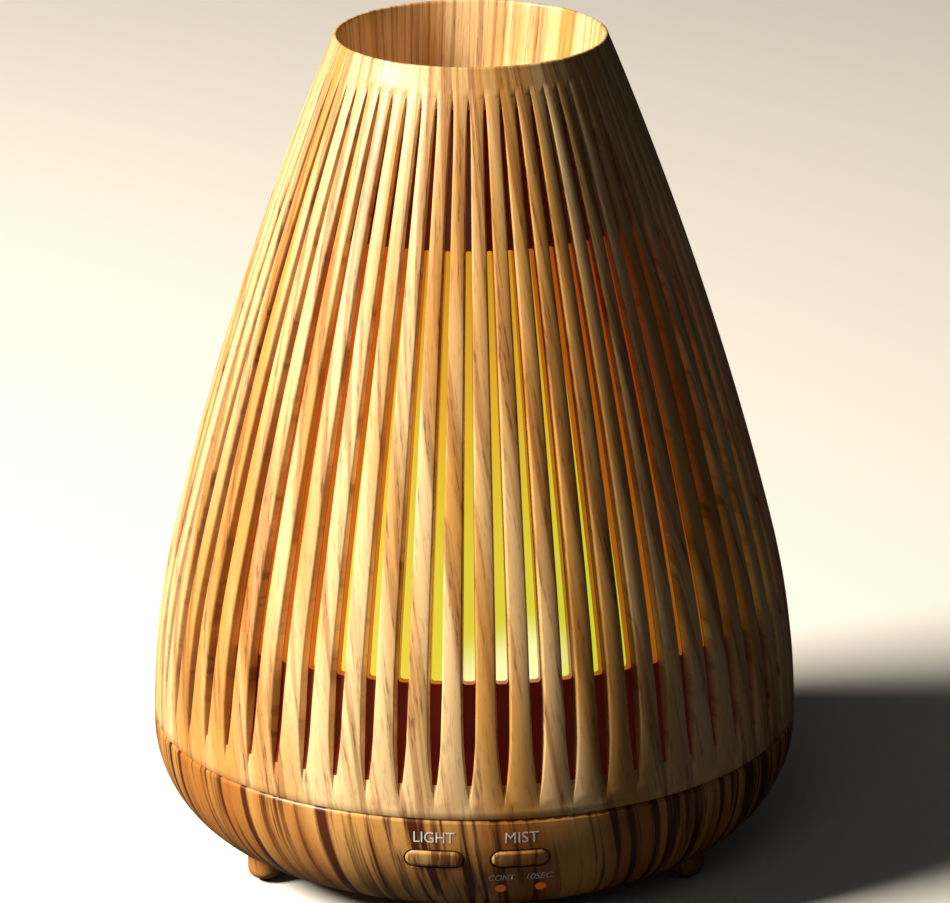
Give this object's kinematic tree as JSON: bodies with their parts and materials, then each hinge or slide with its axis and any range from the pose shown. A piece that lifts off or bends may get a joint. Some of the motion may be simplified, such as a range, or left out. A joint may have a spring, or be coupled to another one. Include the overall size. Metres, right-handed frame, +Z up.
{
  "type": "essential oil diffuser",
  "caption": "Ultrasonic oil diffuser: tapered fluted cover with pierced windows over a glowing shade and water basin, on a round base with two buttons.",
  "frame": {"origin": "on the table under the middle of the object", "axes": "+Z up; the buttons face -Y; +X is to the right of someone facing the buttons"},
  "size_m": [0.14, 0.14, 0.1816],
  "materials": {
    "wood_print": "moulded plastic with a printed wood grain, satin",
    "wood_button": "wood grain print, satin",
    "frosted_shade": "frosted translucent moulding",
    "tank_white": "polished moulding",
    "plate_brown": "fine texture",
    "pad_rubber": "matte",
    "silicone": "translucent silicone, satin",
    "screw_steel": "zinc plated",
    "electrode": "silver electrode over ceramic",
    "fan_black": "satin moulding",
    "duct_white": "satin moulding",
    "board_green": "solder mask",
    "board_white": "white solder mask",
    "component_black": "moulded epoxy",
    "capacitor_sleeve": "shrink sleeve",
    "coil_wire": "enamelled copper winding",
    "connector_white": "moulded nylon",
    "led_lens": "clear epoxy",
    "amber_lens": "tinted acrylic",
    "switch_black": "moulded",
    "jack_black": "moulded",
    "pin_nickel": "nickel plated",
    "lead_red": "PVC sleeve",
    "lead_black": "PVC sleeve",
    "lead_white": "PVC sleeve"
  },
  "bodies": {
    "base": {"base_shell": "wood_print", "water_tank": "tank_white", "deck_seal": "silicone", "bottom_plate": "plate_brown", "foot_pads": "pad_rubber", "bottom_screws": "screw_steel", "deck_screws": "screw_steel", "clamp_screws": "screw_steel", "fan_screws": "screw_steel", "board_screws": "screw_steel", "transducer_disc": "electrode", "transducer_seal": "silicone", "transducer_clamp": "duct_white", "fan_housing": "fan_black", "fan_duct": "duct_white", "main_board": "board_green", "storage_capacitor": "capacitor_sleeve", "drive_coil": "coil_wire", "control_chip": "component_black", "driver_transistors": "component_black", "board_connectors": "connector_white", "control_board": "board_green", "indicator_leds": "led_lens", "light_switch": "switch_black", "mist_switch": "switch_black", "continuous_light_pipe": "amber_lens", "timer_light_pipe": "amber_lens", "dc_jack": "jack_black", "dc_pin": "pin_nickel", "led_ring_board": "board_white", "colour_leds": "led_lens", "power_lead": "lead_red", "transducer_lead": "lead_red", "fan_lead": "lead_black", "control_lead": "lead_white", "led_lead": "lead_white"},
    "cover": {"outer_cover": "wood_print"},
    "shade": {"light_shade": "frosted_shade"},
    "light_button": {"light_button": "wood_button", "light_plunger": "connector_white"},
    "mist_button": {"mist_button": "wood_button", "mist_plunger": "connector_white"},
    "fan_rotor": {"fan_rotor": "fan_black"}
  },
  "joints": [
    {"name": "cover_lift", "type": "slide", "parent": "base", "child": "cover", "axis": [0, 0, 1], "range_m": [0, 0.26]},
    {"name": "shade_lift", "type": "slide", "parent": "base", "child": "shade", "axis": [0, 0, 1], "range_m": [0, 0.13]},
    {"name": "light_button_press", "type": "slide", "parent": "base", "child": "light_button", "axis": [0, 1, 0], "range_m": [0, 0.0005], "stiffness_N_per_m": 400, "springref_m": -0.001},
    {"name": "mist_button_press", "type": "slide", "parent": "base", "child": "mist_button", "axis": [0, 1, 0], "range_m": [0, 0.0005], "stiffness_N_per_m": 400, "springref_m": -0.001},
    {"name": "fan_spin", "type": "hinge", "parent": "base", "child": "fan_rotor", "pos_m": [0.02157, 0, 0.0143], "axis": [0, 0, 1], "continuous": true}
  ],
  "couplings": [
    {"joint": "shade_lift", "follows": "cover_lift", "ratio": 0.5}
  ]
}
